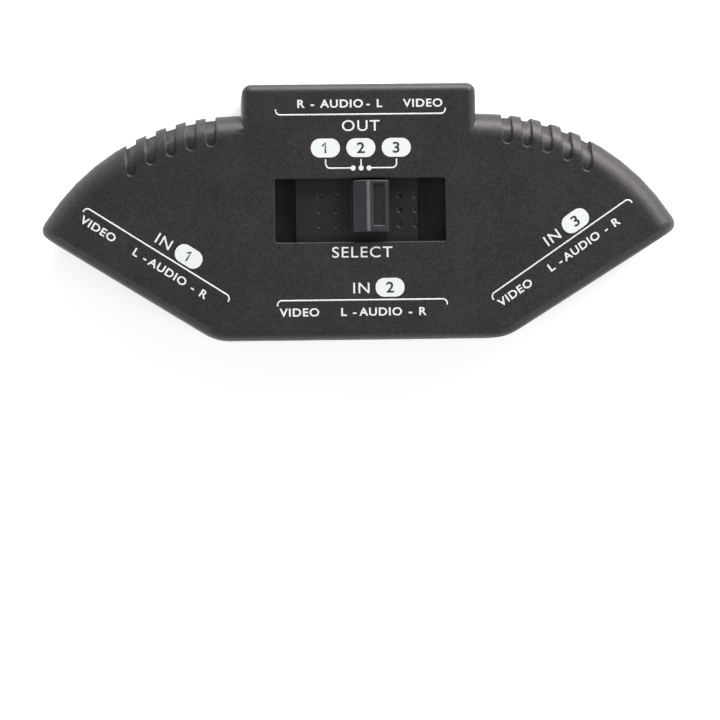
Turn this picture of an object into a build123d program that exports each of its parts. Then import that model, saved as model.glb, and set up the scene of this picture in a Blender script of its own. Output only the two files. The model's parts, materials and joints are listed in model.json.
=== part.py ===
"""A three-way audio and video switch box: a two-shell case, four jack blocks and a slide selector.

Millimetres, +Z up. The origin is under the middle of the case, on the surface it stands on.
+Y points to the rear tab with the output jacks, and -Y to the middle set of input jacks.
"""

import os
from math import atan2, cos, pi, radians, sin, sqrt, tan

from build123d import *

# Case
case_depth = 62.4  # front face to the rear face of the tab
case_height = 28.0
wall = 2.2
front_width = 70.6  # front face between its sharp corners
front_angle = 31.85  # each slanted face against the front face, in degrees
arc_spread = 60.6  # between the centres of the two rear arcs, which lie on the front line
tab_width = 57.0
tab_reach = 7.3  # how far the tab stands out behind the body
rear_edge_radius = 6.2  # long soft edge along the back and the arcs
front_edge_radius = 2.4  # edges of the front faces, and the two tips
front_corner_radius = 12.0
tab_edge_radius = 2.2
stretch_count = 10  # straight stretches that follow a rear arc

# Grip grooves over the rear arcs
groove_count = 5
groove_first_x = 36.2
groove_pitch = 4.88
groove_width = 2.4
groove_depth = 1.0
groove_reach = 7.4  # from the rim of the case to a groove's rounded inner end
groove_end_sides = 12

# Window for the selector
window_length = 41.6
window_width = 15.5
window_y = 0.3
window_corner_radius = 0.5

# Case screws and their bosses
rear_screw_inset = 8.6  # from the rim of the case
rear_screw_angle = 64.3  # about the centre of a rear arc, in degrees
front_screw_inset = 12.7  # from the front face
front_screw_side = 8.7  # from the sharp front corner, along the front face
screw_head_radius = 1.7
screw_head_height = 1.3
screw_head_recess = 0.4
screw_radius = 1.1
screw_length = 13.6  # under the head
screw_well_radius = 2.05
screw_hole_radius = 1.3
screw_pilot_radius = 0.95
screw_end_room = 1.0
screw_sides = 6
head_sides = 12
boss_sides = 6
lower_boss_radius = 3.4
upper_boss_radius = 3.1
boss_joint_height = 9.0

# Jack blocks
jack_end_room = 7.5  # from the outer jacks to the ends of their block
housing_end_room = 3.9  # from a block to the ends of its slanted face
housing_tab_room = 4.8  # from a block to the walls of the tab
housing_height = 13.2
housing_depth_share = 0.221  # of the depth of the case
housing_wall = 0.9
housing_setback = 0.2  # rim of the block behind the face of the case
port_clearance = 0.2
well_depth = 8.6
sleeve_radius = 4.15
sleeve_wall = 0.5
sleeve_setback = 0.4  # end of a sleeve behind the rim of its block
insulator_setback = 0.8  # face of an insulator behind the end of its sleeve
bush_sides = 8
contact_setback = 0.6  # tips of a contact's leaves behind the insulator's face
contact_hole_radius = 1.95
leaf_gap = 3.1  # between the two leaves, where the plug's pin goes
leaf_width = 0.9
leaf_thickness = 0.17
contact_base = 0.5
tail_width = 1.2
tail_thickness = 0.5
tail_stand = 0.8  # what stands through the board
bush_clearance = 0.05
tail_clearance = 0.2
support_thickness = 1.6
support_depth = 10.0

# Circuit board
board_thickness = 1.6
board_margin = 4.6  # from the faces of the case to the edge of the board
board_wing_end = 6.2  # past the outer jacks of a slanted face
board_wing_depth = 16.4  # square to a slanted face
board_waist = 66.0
board_tab_width = 48.0
board_hole_clearance = 0.5
pad_thickness = 0.1
pad_length = 3.4
pad_width = 1.0
pad_gap = 0.8
rail_end = 2.2  # common rail past the middle of the outer pads

# Selector
selector_room = 3.6  # between the board and the ceiling of the case
position_pitch = 4.6
slider_rest_x = -0.7
slider_length = 30.0
slider_overlap = 2.0  # how far the plate reaches under the window's long edges
plate_thickness = 2.0
slide_clearance = 0.2
runner_width = 1.2
knob_length = 9.0
knob_width = 12.7
knob_rise = 2.5  # ridge of the knob over the top of the case
knob_x = 3.25  # middle of the knob from the middle of the plate
knob_y = 0.9
knob_fall = 0.9  # from the ridge to the ends
knob_ridge_share = 0.42
knob_corner_radius = 0.8
knob_edge = 0.3
scoop_length = 2.9
scoop_width = 10.3
scoop_depth = 0.5
scoop_x_share = 0.21  # of the knob's length, from its middle
scoop_y_share = 0.03
dimple_radius = 0.6
dimple_sides = 8
dimple_depth = 0.45
dimple_pitch_x = 3.9
dimple_pitch_y = 3.56
dimple_x = 2.55  # middle of the dimples from the middle of the plate
guide_thickness = 1.2

# Wipers
pole_pitch = 5.0
wiper_width = 3.0
wiper_thickness = 0.2
wiper_base_length = 3.5
wiper_arm_length = 2.1
wiper_foot_length = 0.8
wiper_toe_length = 0.6
wiper_toe_rise = 0.4
wiper_slot = 1.0
wiper_gap = 0.1  # over the pads, so that the solids stay apart
stake_radius = 0.6
stake_length = 0.5
stake_sides = 6

# Detent
spring_thickness = 0.3
spring_height = 2.2
spring_length = 24.0
nose_half_width = 2.0
nose_tip_width = 0.8
notch_depth = 0.9
notch_half_width = 1.4
nose_clearance = 0.25
spring_gap = 0.1
detent_opening = 9.0

# How far a cut runs past the face it opens
overrun = 1.0

# Places worked out from the sizes above
front_y = -case_depth / 2
tab_y = case_depth / 2
back_y = tab_y - tab_reach
arc_radius = back_y - front_y
arc_x = arc_spread / 2
slant = radians(front_angle)
parting_z = case_height / 2
ceiling_z = case_height - wall
board_top_z = ceiling_z - selector_room
board_z = board_top_z - board_thickness
jack_z = board_z - housing_height / 2
pad_top_z = board_top_z + pad_thickness
housing_bottom = -housing_height / 2
plate_top_z = ceiling_z - slide_clearance
plate_bottom_z = plate_top_z - plate_thickness
runner_z = board_top_z + slide_clearance
slider_width = window_width + 2 * slider_overlap
knob_top_z = case_height + knob_rise
tail_top = board_top_z + tail_stand - jack_z
well_floor = housing_setback + well_depth
housing_depth = housing_depth_share * case_depth
housing_back = housing_setback + housing_depth
sleeve_front = housing_setback + sleeve_setback
insulator_front = sleeve_front + insulator_setback
contact_front = insulator_front + contact_setback
insulator_radius = sleeve_radius - sleeve_wall - bush_clearance
screw_under_head_z = screw_head_recess + screw_head_height
screw_tip_z = screw_under_head_z + screw_length
guide_y = slider_width / 2 + slide_clearance
spring_y = window_y - guide_y - guide_thickness - spring_gap - spring_thickness / 2
slider_front_y = window_y - slider_width / 2

# The slanted faces end where they meet the rear arcs
corner_past_arc = front_width / 2 - arc_x
slant_length = sqrt(arc_radius**2 - (corner_past_arc * sin(slant)) ** 2) - corner_past_arc * cos(slant)
slant_x = front_width / 2 + slant_length / 2 * cos(slant)
slant_y = front_y + slant_length / 2 * sin(slant)

# The widest jack blocks that both the slanted faces and the tab can take
housing_width = min(slant_length - 2 * housing_end_room, tab_width - 2 * (wall + housing_tab_room))
jack_pitch = housing_width / 2 - jack_end_room
board_wing_length = slant_length / 2 + jack_pitch + board_wing_end

# The back of the case: its straight middle, and the stretches of each arc from there to past the tip
tip_angle = atan2(slant_length * sin(slant), corner_past_arc + slant_length * cos(slant))
stretch_angle = (pi / 2 - tip_angle) / (stretch_count - 1 / 2)
rear_stretches = [(0, pi / 2, arc_radius)]
for index in range(stretch_count):
    heading = pi / 2 - (index + 1 / 2) * stretch_angle
    reach = arc_radius * cos(stretch_angle / 2)
    rear_stretches.append((arc_x, heading, reach))
    rear_stretches.append((-arc_x, pi - heading, reach))

rear_screw_x = arc_x + (arc_radius - rear_screw_inset) * cos(radians(rear_screw_angle))
rear_screw_y = front_y + (arc_radius - rear_screw_inset) * sin(radians(rear_screw_angle))
front_screw_x = front_width / 2 - front_screw_side
front_screw_y = front_y + front_screw_inset
screw_places = [
    (-rear_screw_x, rear_screw_y),
    (rear_screw_x, rear_screw_y),
    (-front_screw_x, front_screw_y),
    (front_screw_x, front_screw_y),
]


def port_plane(x, y, out_x, out_y):
    """The plane on a face of the case round which a jack block is laid out, its normal pointing out."""
    return Plane(origin=(x, y, jack_z), x_dir=(-out_y, out_x, 0), z_dir=(out_x, out_y, 0))


ports = {
    "input_1": port_plane(-slant_x, slant_y, -sin(slant), -cos(slant)),
    "input_2": port_plane(0, front_y, 0, -1),
    "input_3": port_plane(slant_x, slant_y, sin(slant), -cos(slant)),
    "output": port_plane(0, tab_y, 0, 1),
}
jack_offsets = {"video": -jack_pitch, "left": 0, "right": jack_pitch}


def front_corner(inset):
    """The right front corner of the outline, drawn in evenly by an inset."""
    return front_width / 2 - inset * tan(slant / 2), front_y + inset


def rim_y(x, inset):
    """Where the rear rim of the case lies at a distance x from the middle, drawn in by an inset."""
    return front_y + sqrt((arc_radius - inset) ** 2 - (x - arc_x) ** 2)


def body_form(inset, rounded):
    """The form of the case without its tab, drawn in evenly by an inset.

    Its back is a row of straight stretches along the arcs, mitred together. Their soft edges are rounded,
    or they are chamfers that touch the same arc.
    """
    height = case_height - 2 * inset
    soft_edge = rear_edge_radius - inset
    corner_x, corner_y = front_corner(inset)
    far_x = corner_x + case_depth / tan(slant)
    far_y = corner_y + case_depth

    with BuildPart() as form:
        with BuildSketch(Plane.XY.offset(inset)) as front_limit:
            with BuildLine():
                Polyline(
                    (-far_x, far_y), (-corner_x, corner_y), (corner_x, corner_y), (far_x, far_y), close=True
                )
            make_face()
            fillet(front_limit.vertices().group_by(Axis.Y)[0], front_corner_radius - inset)
        extrude(amount=height)
        for centre_x, heading, reach in rear_stretches:
            stretch_plane = Plane(
                origin=(centre_x, front_y, inset),
                x_dir=(cos(heading), sin(heading), 0),
                z_dir=(sin(heading), -cos(heading), 0),
            )
            with BuildSketch(stretch_plane) as profile:
                with Locations((reach - inset, 0)):
                    Rectangle(2 * far_x, height, align=(Align.MAX, Align.MIN))
                rear_corners = profile.vertices().group_by(Axis.X)[-1]
                if rounded:
                    fillet(rear_corners, soft_edge)
                else:
                    chamfer(rear_corners, soft_edge * (2 - sqrt(2)))
            extrude(amount=2 * far_x, both=True, mode=Mode.INTERSECT)
    return form.part


def port_cutter(margin, depth):
    """The holes in the case for the four jack blocks, with a margin all round them."""
    with BuildPart() as cutter:
        for plane in ports.values():
            with BuildSketch(plane.offset(overrun)):
                Rectangle(housing_width + 2 * margin, housing_height + 2 * margin)
            extrude(amount=-depth - overrun)
    return cutter.part


outer_body = body_form(0, rounded=True)
inner_body = body_form(wall, rounded=False)
groove_floor = body_form(groove_depth, rounded=False)
port_holes = port_cutter(port_clearance, 2 * wall)

with BuildPart() as tab:
    with BuildSketch():
        Rectangle(tab_width, tab_y, align=(Align.CENTER, Align.MIN))
    extrude(amount=case_height)
    root_edges = tab.faces().sort_by(Axis.Y)[0].edges()
    fillet(tab.edges() - root_edges, tab_edge_radius)

# The whole outside, with the edges of its front faces and its tips rounded
with BuildPart() as outside:
    add(outer_body)
    front_faces = outside.faces().filter_by(lambda face: face.normal_at().Y < -sin(slant))
    front_edges = ShapeList(edge for face in front_faces for edge in face.edges())
    fillet([edge for edge in front_edges if front_edges.count(edge) == 1], front_edge_radius)
    add(tab.part)

with BuildPart() as inside:
    add(inner_body)
    with BuildSketch(Plane.XY.offset(wall)):
        Rectangle(tab_width - 2 * wall, tab_y - wall, align=(Align.CENTER, Align.MIN))
    extrude(amount=case_height - 2 * wall)

# The skin that the grip grooves take off: slots over the rim of the case, down to their floors
with BuildPart() as grooves:
    with BuildSketch():
        for index in range(groove_count):
            groove_x = groove_first_x + index * groove_pitch
            groove_y = rim_y(groove_x, groove_reach) + groove_width / 2
            with Locations((groove_x, groove_y)):
                RegularPolygon(groove_width / 2, groove_end_sides)
                Rectangle(groove_width, tab_y - groove_y, align=(Align.CENTER, Align.MIN))
    extrude(amount=case_height)
    add(groove_floor, mode=Mode.SUBTRACT)
    mirror(about=Plane.YZ)

# Upper shell: top face, window, the selector's guides and four bosses
with BuildPart() as upper_shell:
    add(outside.part)
    add(grooves.part, mode=Mode.SUBTRACT)
    add(inside.part, mode=Mode.SUBTRACT)
    split(bisect_by=Plane.XY.offset(parting_z), keep=Keep.TOP)
    add(port_holes, mode=Mode.SUBTRACT)
    # bosses, with pilot holes that the screws cut their threads in
    with BuildSketch(Plane.XY.offset(boss_joint_height)):
        with Locations(*screw_places):
            RegularPolygon(upper_boss_radius, boss_sides)
    extrude(amount=ceiling_z - boss_joint_height)
    with BuildSketch(Plane.XY.offset(boss_joint_height)):
        with Locations(*screw_places):
            RegularPolygon(screw_pilot_radius, screw_sides)
    extrude(amount=screw_tip_z + screw_end_room - boss_joint_height, mode=Mode.SUBTRACT)
    # frame of ribs round the window: it guides the slider and holds the board down
    with BuildSketch(Plane.XY.offset(board_top_z)):
        with Locations((0, window_y)):
            Rectangle(window_length + 2 * guide_thickness, 2 * (guide_y + guide_thickness))
            Rectangle(window_length, 2 * guide_y, mode=Mode.SUBTRACT)
        with Locations((0, window_y - guide_y - guide_thickness / 2)):
            Rectangle(detent_opening, 2 * guide_thickness, mode=Mode.SUBTRACT)
        # outer cheeks that trap the ends of the detent spring
        with Locations((0, spring_y - spring_thickness / 2 - spring_gap - guide_thickness / 2)):
            Rectangle(spring_length, guide_thickness)
            Rectangle(detent_opening, guide_thickness, mode=Mode.SUBTRACT)
        for side in (-1, 1):
            with Locations((side * (spring_length / 2 + spring_gap + guide_thickness / 2), spring_y)):
                Rectangle(guide_thickness, spring_thickness + 2 * (spring_gap + guide_thickness))
    extrude(amount=ceiling_z - board_top_z)
    # window
    with BuildSketch(Plane.XY.offset(ceiling_z)):
        with Locations((0, window_y)):
            RectangleRounded(window_length, window_width, window_corner_radius)
    extrude(amount=wall, mode=Mode.SUBTRACT)

# Lower shell: floor, bosses with screw wells, and ribs under the jack blocks
with BuildPart() as lower_shell:
    add(outside.part)
    add(grooves.part, mode=Mode.SUBTRACT)
    add(inside.part, mode=Mode.SUBTRACT)
    split(bisect_by=Plane.XY.offset(parting_z), keep=Keep.BOTTOM)
    add(port_holes, mode=Mode.SUBTRACT)
    with BuildSketch(Plane.XY.offset(wall)):
        with Locations(*screw_places):
            RegularPolygon(lower_boss_radius, boss_sides)
    extrude(amount=boss_joint_height - wall)
    with BuildSketch():
        with Locations(*screw_places):
            RegularPolygon(screw_hole_radius, screw_sides)
    extrude(amount=boss_joint_height, mode=Mode.SUBTRACT)
    with BuildSketch():
        with Locations(*screw_places):
            RegularPolygon(screw_well_radius, head_sides)
    extrude(amount=screw_under_head_z, mode=Mode.SUBTRACT)
    for plane in ports.values():
        with BuildSketch(plane.offset(-wall)):
            with Locations((-jack_pitch / 2, housing_bottom), (jack_pitch / 2, housing_bottom)):
                Rectangle(
                    support_thickness, jack_z - wall + housing_bottom, align=(Align.CENTER, Align.MAX)
                )
        extrude(amount=-support_depth)

# Case screws: pan heads on lobed thread-forming shanks
with BuildPart() as case_screws:
    with BuildSketch(Plane.XY.offset(screw_head_recess)):
        with Locations(*screw_places):
            RegularPolygon(screw_head_radius, head_sides)
    extrude(amount=screw_head_height)
    with BuildSketch(Plane.XY.offset(screw_under_head_z)):
        with Locations(*screw_places):
            RegularPolygon(screw_radius, screw_sides)
    extrude(amount=screw_length)

# Circuit board: wings over the slanted blocks, a waist under the selector, a tongue in the tab
wing_corner_x, wing_corner_y = front_corner(board_margin)


def wing_point(along, depth):
    """A point over the right slanted face, along it from its sharp corner and square into the case."""
    return (
        front_width / 2 + along * cos(slant) - depth * sin(slant),
        front_y + along * sin(slant) + depth * cos(slant),
    )


wing_root_along = (board_waist / 2 - wing_point(0, board_wing_depth)[0]) / cos(slant)
right_edge = [
    (wing_corner_x, wing_corner_y),
    wing_point(board_wing_length, board_margin),
    wing_point(board_wing_length, board_wing_depth),
    wing_point(wing_root_along, board_wing_depth),
    (board_waist / 2, back_y - board_margin),
    (board_tab_width / 2, back_y - board_margin),
    (board_tab_width / 2, tab_y - board_margin),
]
left_edge = [(-x, y) for x, y in reversed(right_edge)]
front_bosses = [place for place in screw_places if place[1] == front_screw_y]
sleeve_tail_depth = well_floor + tail_thickness / 2
contact_tail_depth = housing_back + tail_thickness / 2

with BuildPart() as circuit_board:
    with BuildSketch(Plane.XY.offset(board_z)):
        with BuildLine():
            Polyline(*right_edge, *left_edge, close=True)
        make_face()
        with Locations(*front_bosses):
            RegularPolygon(upper_boss_radius + board_hole_clearance, boss_sides, mode=Mode.SUBTRACT)
    extrude(amount=board_thickness)
    for plane in ports.values():
        for depth in (sleeve_tail_depth, contact_tail_depth):
            slot_thickness = tail_thickness + 2 * tail_clearance
            with BuildSketch(plane.offset(-depth + slot_thickness / 2)):
                for offset_along in jack_offsets.values():
                    with Locations((offset_along, board_z - jack_z)):
                        Rectangle(
                            tail_width + 2 * tail_clearance,
                            board_thickness,
                            align=(Align.CENTER, Align.MIN),
                        )
            extrude(amount=-slot_thickness, mode=Mode.SUBTRACT)

# Contact pads: for each pole a common rail and a pad for each of the three places
pad_row_step = pad_width + pad_gap
poles = {"video": pole_pitch, "left": 0, "right": -pole_pitch}

with BuildPart() as contact_pads:
    with BuildSketch(Plane.XY.offset(board_top_z)):
        for pole_y in poles.values():
            with Locations((0, window_y + pole_y - pad_row_step / 2)):
                Rectangle(2 * (position_pitch + rail_end), pad_width)
            for place in (-1, 0, 1):
                with Locations((place * position_pitch, window_y + pole_y + pad_row_step / 2)):
                    Rectangle(pad_length, pad_width)
    extrude(amount=pad_thickness)

knob_middle_x = slider_rest_x + knob_x
knob_middle_y = window_y + knob_y
knob_left_x = knob_middle_x - knob_length / 2
knob_right_x = knob_middle_x + knob_length / 2
ridge_x = knob_left_x + knob_ridge_share * knob_length
knob_base_z = plate_top_z - plate_thickness / 2
stake_x = -wiper_foot_length / 2 - wiper_arm_length - wiper_base_length / 2

# Finger knob: a ridge across, falling to both ends, with a scoop for the finger on the right
scoop_x = knob_middle_x + scoop_x_share * knob_length
scoop_y = knob_middle_y + scoop_y_share * knob_width
scoop_fall = knob_fall * (scoop_x - ridge_x) / (knob_right_x - ridge_x)

with BuildPart() as knob:
    with BuildSketch(Plane(origin=(0, knob_middle_y, 0), x_dir=(1, 0, 0), z_dir=(0, -1, 0))):
        with BuildLine():
            Polyline(
                (knob_left_x, knob_base_z),
                (knob_right_x, knob_base_z),
                (knob_right_x, knob_top_z - knob_fall),
                (ridge_x, knob_top_z),
                (knob_left_x, knob_top_z - knob_fall),
                close=True,
            )
        make_face()
    extrude(amount=knob_width / 2, both=True)
    fillet(knob.edges().filter_by(Axis.Z), knob_corner_radius)
    top_faces = knob.faces().filter_by(lambda face: face.normal_at().Z > 0)
    ridge = top_faces.edges().filter_by(Axis.Y).sort_by(Axis.Z)[-1:]
    chamfer(top_faces.edges() - ridge, knob_edge)
    with BuildSketch(Plane.XY.offset(knob_top_z)):
        with Locations((scoop_x, scoop_y)):
            Rectangle(scoop_length, scoop_width)
    extrude(amount=-scoop_fall - scoop_depth, mode=Mode.SUBTRACT)

# Selector slider: plate with runners, dimples, stakes for the wipers, notches and the finger knob
with BuildPart() as selector_slider:
    with BuildSketch(Plane.XY.offset(plate_bottom_z)):
        with Locations((slider_rest_x, window_y)):
            Rectangle(slider_length, slider_width)
        # one notch for each place of the switch
        with Locations(*[(place * position_pitch, slider_front_y) for place in (-1, 0, 1)]):
            notch = [(-notch_half_width, 0), (notch_half_width, 0), (0, notch_depth)]
            Polygon(*notch, align=None, mode=Mode.SUBTRACT)
    extrude(amount=plate_thickness)
    # runners on the board
    with BuildSketch(Plane.XY.offset(runner_z)):
        for side in (-1, 1):
            runner_y = window_y + side * (slider_width / 2 - notch_depth - runner_width / 2)
            with Locations((slider_rest_x, runner_y)):
                Rectangle(slider_length, runner_width)
    extrude(amount=plate_bottom_z - runner_z)
    # dimples on both sides of the knob
    with BuildSketch(Plane.XY.offset(plate_top_z)):
        for side in (-1, 1):
            with Locations((slider_rest_x + dimple_x + side * 5 / 2 * dimple_pitch_x, window_y)):
                with GridLocations(dimple_pitch_x, dimple_pitch_y, 2, 3):
                    RegularPolygon(dimple_radius, dimple_sides)
    extrude(amount=-dimple_depth, mode=Mode.SUBTRACT)
    add(knob.part)
    # stakes that hold the wipers
    with BuildSketch(Plane.XY.offset(plate_bottom_z)):
        for pole_y in poles.values():
            with Locations((stake_x, window_y + pole_y)):
                RegularPolygon(stake_radius, stake_sides)
    extrude(amount=-stake_length)

# Wipers: one two-fingered bridge for each pole
wiper_base_z = plate_bottom_z - wiper_thickness / 2
wiper_foot_z = pad_top_z + wiper_gap + wiper_thickness / 2
wipers = {}
for pole, pole_y in poles.items():
    with BuildPart() as wiper:
        with BuildSketch(Plane(origin=(0, window_y + pole_y, 0), x_dir=(1, 0, 0), z_dir=(0, -1, 0))):
            with BuildLine():
                foot_start_x = -wiper_foot_length / 2
                arm_start_x = foot_start_x - wiper_arm_length
                toe_start_x = wiper_foot_length / 2
                Polyline(
                    (arm_start_x - wiper_base_length, wiper_base_z),
                    (arm_start_x, wiper_base_z),
                    (foot_start_x, wiper_foot_z),
                    (toe_start_x, wiper_foot_z),
                    (toe_start_x + wiper_toe_length, wiper_foot_z + wiper_toe_rise),
                )
            trace(line_width=wiper_thickness)
        extrude(amount=wiper_width / 2, both=True)
        with BuildSketch(Plane.XY.offset(board_top_z)):
            with Locations((arm_start_x, window_y + pole_y)):
                Rectangle(
                    wiper_arm_length + wiper_foot_length + 2 * wiper_toe_length,
                    wiper_slot,
                    align=(Align.MIN, Align.CENTER),
                )
            with Locations((stake_x, window_y + pole_y)):
                RegularPolygon(stake_radius + bush_clearance, stake_sides)
        extrude(amount=plate_top_z - board_top_z, mode=Mode.SUBTRACT)
    wipers[pole] = wiper.part

# Detent spring: a leaf along the front guide whose nose sits in the slider's notch
nose_tip_y = slider_front_y + notch_depth - nose_clearance - spring_thickness
spring_middle_z = (board_top_z + ceiling_z) / 2

with BuildPart() as detent_spring:
    with BuildSketch(Plane.XY.offset(spring_middle_z)):
        with BuildLine():
            Polyline(
                (-spring_length / 2, spring_y),
                (-nose_half_width, spring_y),
                (-nose_tip_width / 2, nose_tip_y),
                (nose_tip_width / 2, nose_tip_y),
                (nose_half_width, spring_y),
                (spring_length / 2, spring_y),
            )
        trace(line_width=spring_thickness)
    extrude(amount=spring_height / 2, both=True)

# Jack blocks: an open well at the front, slots for the tails behind its floor
housings = {}
for port, plane in ports.items():
    with BuildPart() as housing:
        with BuildSketch(plane.offset(-housing_setback)):
            Rectangle(housing_width, housing_height)
        extrude(amount=-housing_depth)
        with BuildSketch(plane.offset(-housing_setback)):
            Rectangle(housing_width - 2 * housing_wall, housing_height - 2 * housing_wall)
        extrude(amount=-well_depth, mode=Mode.SUBTRACT)
        with BuildSketch(plane.offset(-well_floor)):
            for along in jack_offsets.values():
                with Locations((along, 0)):
                    Rectangle(tail_width + 2 * tail_clearance, tail_thickness + 2 * tail_clearance)
        extrude(amount=well_floor - housing_back, mode=Mode.SUBTRACT)
        with BuildSketch(plane.offset(-well_floor)):
            for along in jack_offsets.values():
                with Locations((along, sleeve_radius - sleeve_wall - tail_clearance)):
                    Rectangle(
                        tail_width + 2 * tail_clearance, housing_height / 2, align=(Align.CENTER, Align.MIN)
                    )
        extrude(amount=-tail_thickness - tail_clearance, mode=Mode.SUBTRACT)
    housings[port] = housing.part

# Jack sleeves: plated tubes on the floor of the well, each with a tail up through the board
sleeves = {}
for channel, along in jack_offsets.items():
    with BuildPart() as channel_sleeves:
        for plane in ports.values():
            with BuildSketch(plane.offset(-sleeve_front)):
                with Locations((along, 0)):
                    Circle(sleeve_radius)
                    RegularPolygon(sleeve_radius - sleeve_wall, bush_sides, mode=Mode.SUBTRACT)
            extrude(amount=sleeve_front - well_floor)
            with BuildSketch(plane.offset(-well_floor)):
                with Locations((along, sleeve_radius - sleeve_wall)):
                    Rectangle(
                        tail_width,
                        tail_top - sleeve_radius + sleeve_wall,
                        align=(Align.CENTER, Align.MIN),
                    )
            extrude(amount=-tail_thickness)
    sleeves[f"{channel}_sleeves"] = channel_sleeves.part

# Insulators: coloured bushes in the sleeves
insulators = {}
for port, plane in ports.items():
    for channel, along in jack_offsets.items():
        with BuildPart() as insulator:
            with BuildSketch(plane.offset(-insulator_front)):
                with Locations((along, 0)):
                    RegularPolygon(insulator_radius, bush_sides)
                    RegularPolygon(contact_hole_radius, bush_sides, mode=Mode.SUBTRACT)
            extrude(amount=insulator_front - well_floor)
        insulators[f"{port}_{channel}_insulator"] = insulator.part

# Centre contacts: a fork for the plug's pin, with a tail back through the block and up
fork_span = leaf_gap + 2 * leaf_thickness
contacts = {}
for port, plane in ports.items():
    for channel, along in jack_offsets.items():
        with BuildPart() as contact:
            with BuildSketch(plane.offset(-contact_front)):
                with Locations((along, 0)):
                    Rectangle(leaf_width, fork_span)
                    Rectangle(leaf_width, leaf_gap, mode=Mode.SUBTRACT)
            extrude(amount=contact_front - well_floor)
            with BuildSketch(plane.offset(-well_floor)):
                with Locations((along, 0)):
                    Rectangle(leaf_width, fork_span)
            extrude(amount=contact_base)
            with BuildSketch(plane.offset(-well_floor)):
                with Locations((along, 0)):
                    Rectangle(tail_width, tail_thickness)
            extrude(amount=well_floor - housing_back)
            with BuildSketch(plane.offset(-housing_back)):
                with Locations((along, -tail_thickness / 2)):
                    Rectangle(tail_width, tail_top + tail_thickness / 2, align=(Align.CENTER, Align.MIN))
            extrude(amount=-tail_thickness)
        contacts[f"{port}_{channel}_contact"] = contact.part

# Every piece, by the name it is kept under
pieces = {
    "upper_shell": upper_shell.part,
    "lower_shell": lower_shell.part,
    "case_screws": case_screws.part,
    "circuit_board": circuit_board.part,
    "contact_pads": contact_pads.part,
    "selector_slider": selector_slider.part,
    "detent_spring": detent_spring.part,
}
pieces.update({f"{pole}_wiper": part for pole, part in wipers.items()})
pieces.update({f"{port}_housing": part for port, part in housings.items()})
pieces.update(sleeves)
pieces.update(insulators)
pieces.update(contacts)

os.makedirs("parts", exist_ok=True)
for name, piece in pieces.items():
    piece.label = name
    export_step(piece, f"parts/{name}.step")
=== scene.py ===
# %% [markdown]
# # A three-way audio and video switch box
#
# A small fan-shaped case of black moulded plastic. Three sets of input jacks sit in its front faces,
# one set of output jacks sits in the tab at the back, and a slide selector in the top picks the input.
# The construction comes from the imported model, at its real size. This lesson gives every piece its
# finish, and adds what a construction model leaves out: soft moulded edges, turned jacks, screw heads
# and the print.

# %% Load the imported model
import json
from math import pi, radians

import bmesh
import bpy
from mathutils import Matrix, Vector

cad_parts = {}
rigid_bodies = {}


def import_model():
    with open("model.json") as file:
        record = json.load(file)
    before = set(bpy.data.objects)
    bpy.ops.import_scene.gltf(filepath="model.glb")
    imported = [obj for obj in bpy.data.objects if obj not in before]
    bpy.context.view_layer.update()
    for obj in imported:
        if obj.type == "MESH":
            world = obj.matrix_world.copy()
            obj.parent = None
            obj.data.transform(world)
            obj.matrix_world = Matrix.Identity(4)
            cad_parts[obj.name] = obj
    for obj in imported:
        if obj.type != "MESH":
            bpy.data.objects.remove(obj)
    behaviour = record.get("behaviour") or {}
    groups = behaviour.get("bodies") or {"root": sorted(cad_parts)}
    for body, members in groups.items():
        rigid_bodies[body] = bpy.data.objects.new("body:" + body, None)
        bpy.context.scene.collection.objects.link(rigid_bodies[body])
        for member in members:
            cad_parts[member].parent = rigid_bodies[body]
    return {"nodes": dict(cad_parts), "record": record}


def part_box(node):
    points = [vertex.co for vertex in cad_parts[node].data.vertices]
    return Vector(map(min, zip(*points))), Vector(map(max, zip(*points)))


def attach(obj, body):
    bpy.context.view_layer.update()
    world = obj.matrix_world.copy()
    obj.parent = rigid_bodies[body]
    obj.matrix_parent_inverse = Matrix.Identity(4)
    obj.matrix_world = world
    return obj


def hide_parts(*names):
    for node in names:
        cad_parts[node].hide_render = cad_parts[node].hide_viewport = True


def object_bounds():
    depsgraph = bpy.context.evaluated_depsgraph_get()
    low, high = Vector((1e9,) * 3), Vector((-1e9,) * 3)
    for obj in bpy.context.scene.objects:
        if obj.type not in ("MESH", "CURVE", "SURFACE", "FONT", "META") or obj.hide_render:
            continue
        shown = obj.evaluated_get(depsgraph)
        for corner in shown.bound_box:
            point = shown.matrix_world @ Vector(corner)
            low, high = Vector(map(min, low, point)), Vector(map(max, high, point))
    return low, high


for leftover in list(bpy.data.objects):
    bpy.data.objects.remove(leftover)

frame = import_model()
cad_low, cad_high = [corner.copy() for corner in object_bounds()]
nodes = frame["nodes"]
mm = 0.001
top_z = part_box("upper_shell")[1].z
print(f"{len(nodes)} nodes, {(cad_high - cad_low) / mm} mm")

# %% [markdown]
# ## The camera
#
# The picture was taken from almost straight above with a long lens, so the sides hardly show: the
# camera leans a little to the left, and the case is turned a little in the frame. The case lies in the
# upper part of the frame. The lens follows from one measure: how many millimetres of the top face one
# pixel covers.

# %% Camera
camera_height = 0.92  # over the top face
frame_width = 720
mm_per_pixel = 0.2437
sensor_width = 36.0
case_in_frame = (0.1, 36.25)  # middle of the top face from the middle of the frame, in millimetres
lean = radians(-2.4)
roll = radians(-0.73)

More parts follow.
